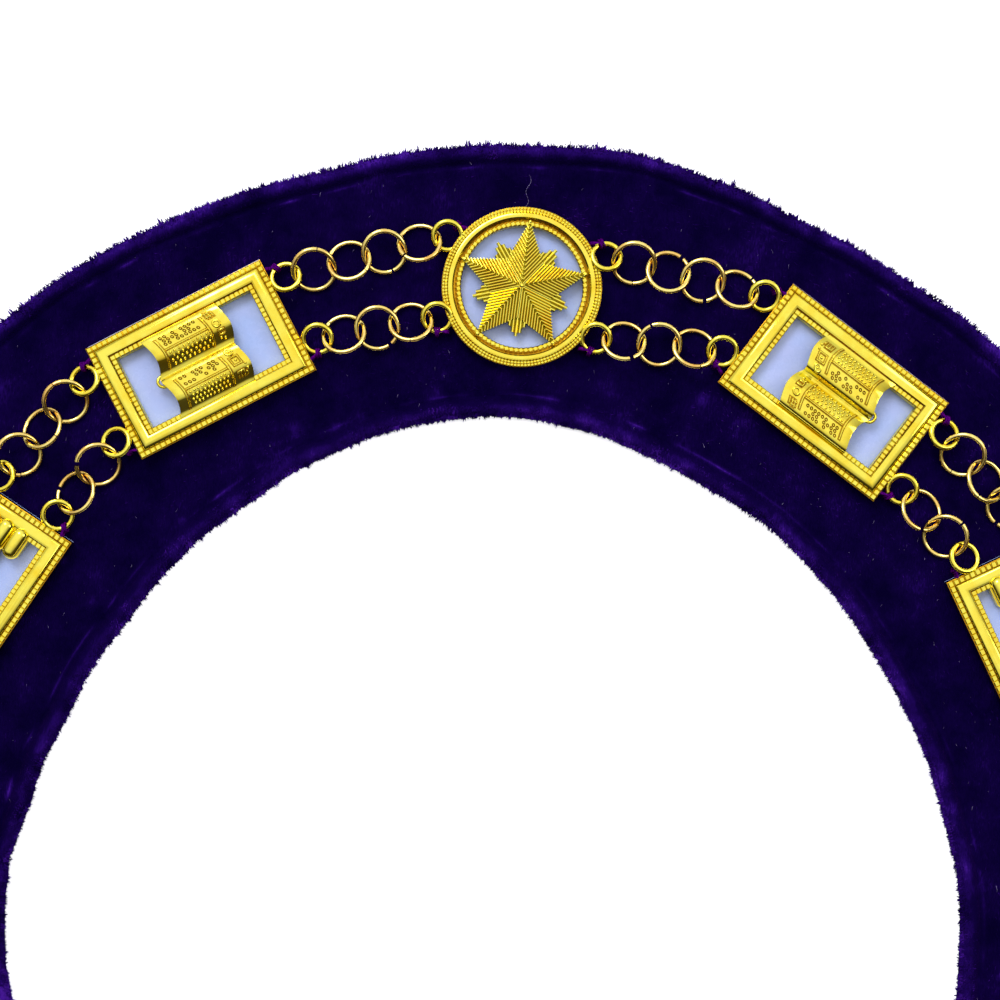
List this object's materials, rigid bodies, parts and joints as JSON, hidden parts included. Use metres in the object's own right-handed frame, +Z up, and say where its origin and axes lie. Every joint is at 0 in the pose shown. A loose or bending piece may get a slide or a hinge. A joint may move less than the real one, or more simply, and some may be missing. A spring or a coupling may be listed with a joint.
{
  "type": "chain of office",
  "caption": "Ceremonial chain of office: gilt plates joined by a double row of jump rings, tied on a pointed velvet collar that lies on the shoulders.",
  "frame": {"origin": "Bottom centre of the bounding box: in the neck opening, on the surface that the collar lies on.", "axes": "+X to the collar's right seen from above with the back of the neck at the top; +Y towards the back of the neck, the longest extent; +Z up off the velvet's underside, the shortest extent."},
  "size_m": [0.384, 0.4372, 0.0097],
  "materials": {
    "velvet": "deep purple velvet pile, brighter on rolls and crushed places",
    "gilt_metal": "polished bright gold plating with darker amber recesses",
    "gilt_links": "polished gold-plated round wire",
    "lilac_sheet": "thin glossy lilac plastic film"
  },
  "bodies": {
    "root": {"backing_back": "lilac_sheet", "backing_front_disc": "lilac_sheet", "backing_left_1_book": "lilac_sheet", "backing_left_2_lobe": "lilac_sheet", "backing_left_3_disc": "lilac_sheet", "backing_left_4_book": "lilac_sheet", "backing_left_5_lobe": "lilac_sheet", "backing_right_1_book": "lilac_sheet", "backing_right_2_lobe": "lilac_sheet", "backing_right_3_disc": "lilac_sheet", "backing_right_4_book": "lilac_sheet", "backing_right_5_lobe": "lilac_sheet", "plate_back": "gilt_metal", "plate_front_disc": "gilt_metal", "plate_left_1_book": "gilt_metal", "plate_left_2_lobe": "gilt_metal", "plate_left_3_disc": "gilt_metal", "plate_left_4_book": "gilt_metal", "plate_left_5_lobe": "gilt_metal", "plate_right_1_book": "gilt_metal", "plate_right_2_lobe": "gilt_metal", "plate_right_3_disc": "gilt_metal", "plate_right_4_book": "gilt_metal", "plate_right_5_lobe": "gilt_metal", "ring_back_to_right_1_book_inner_1": "gilt_links", "ring_back_to_right_1_book_inner_2": "gilt_links", "ring_back_to_right_1_book_inner_3": "gilt_links", "ring_back_to_right_1_book_outer_1": "gilt_links", "ring_back_to_right_1_book_outer_2": "gilt_links", "ring_back_to_right_1_book_outer_3": "gilt_links", "ring_back_to_right_1_book_outer_4": "gilt_links", "ring_left_1_book_to_back_inner_1": "gilt_links", "ring_left_1_book_to_back_inner_2": "gilt_links", "ring_left_1_book_to_back_inner_3": "gilt_links", "ring_left_1_book_to_back_outer_1": "gilt_links", "ring_left_1_book_to_back_outer_2": "gilt_links", "ring_left_1_book_to_back_outer_3": "gilt_links", "ring_left_1_book_to_back_outer_4": "gilt_links", "run_front_disc_to_left_5_lobe_inner": "gilt_links", "run_front_disc_to_left_5_lobe_outer": "gilt_links", "run_left_2_lobe_to_left_1_book_inner": "gilt_links", "run_left_2_lobe_to_left_1_book_outer": "gilt_links", "run_left_3_disc_to_left_2_lobe_inner": "gilt_links", "run_left_3_disc_to_left_2_lobe_outer": "gilt_links", "run_left_4_book_to_left_3_disc_inner": "gilt_links", "run_left_4_book_to_left_3_disc_outer": "gilt_links", "run_left_5_lobe_to_left_4_book_inner": "gilt_links", "run_left_5_lobe_to_left_4_book_outer": "gilt_links", "run_right_1_book_to_right_2_lobe_inner": "gilt_links", "run_right_1_book_to_right_2_lobe_outer": "gilt_links", "run_right_2_lobe_to_right_3_disc_inner": "gilt_links", "run_right_2_lobe_to_right_3_disc_outer": "gilt_links", "run_right_3_disc_to_right_4_book_inner": "gilt_links", "run_right_3_disc_to_right_4_book_outer": "gilt_links", "run_right_4_book_to_right_5_lobe_inner": "gilt_links", "run_right_4_book_to_right_5_lobe_outer": "gilt_links", "run_right_5_lobe_to_front_disc_inner": "gilt_links", "run_right_5_lobe_to_front_disc_outer": "gilt_links", "velvet_band": "velvet"}
  },
  "joints": []
}
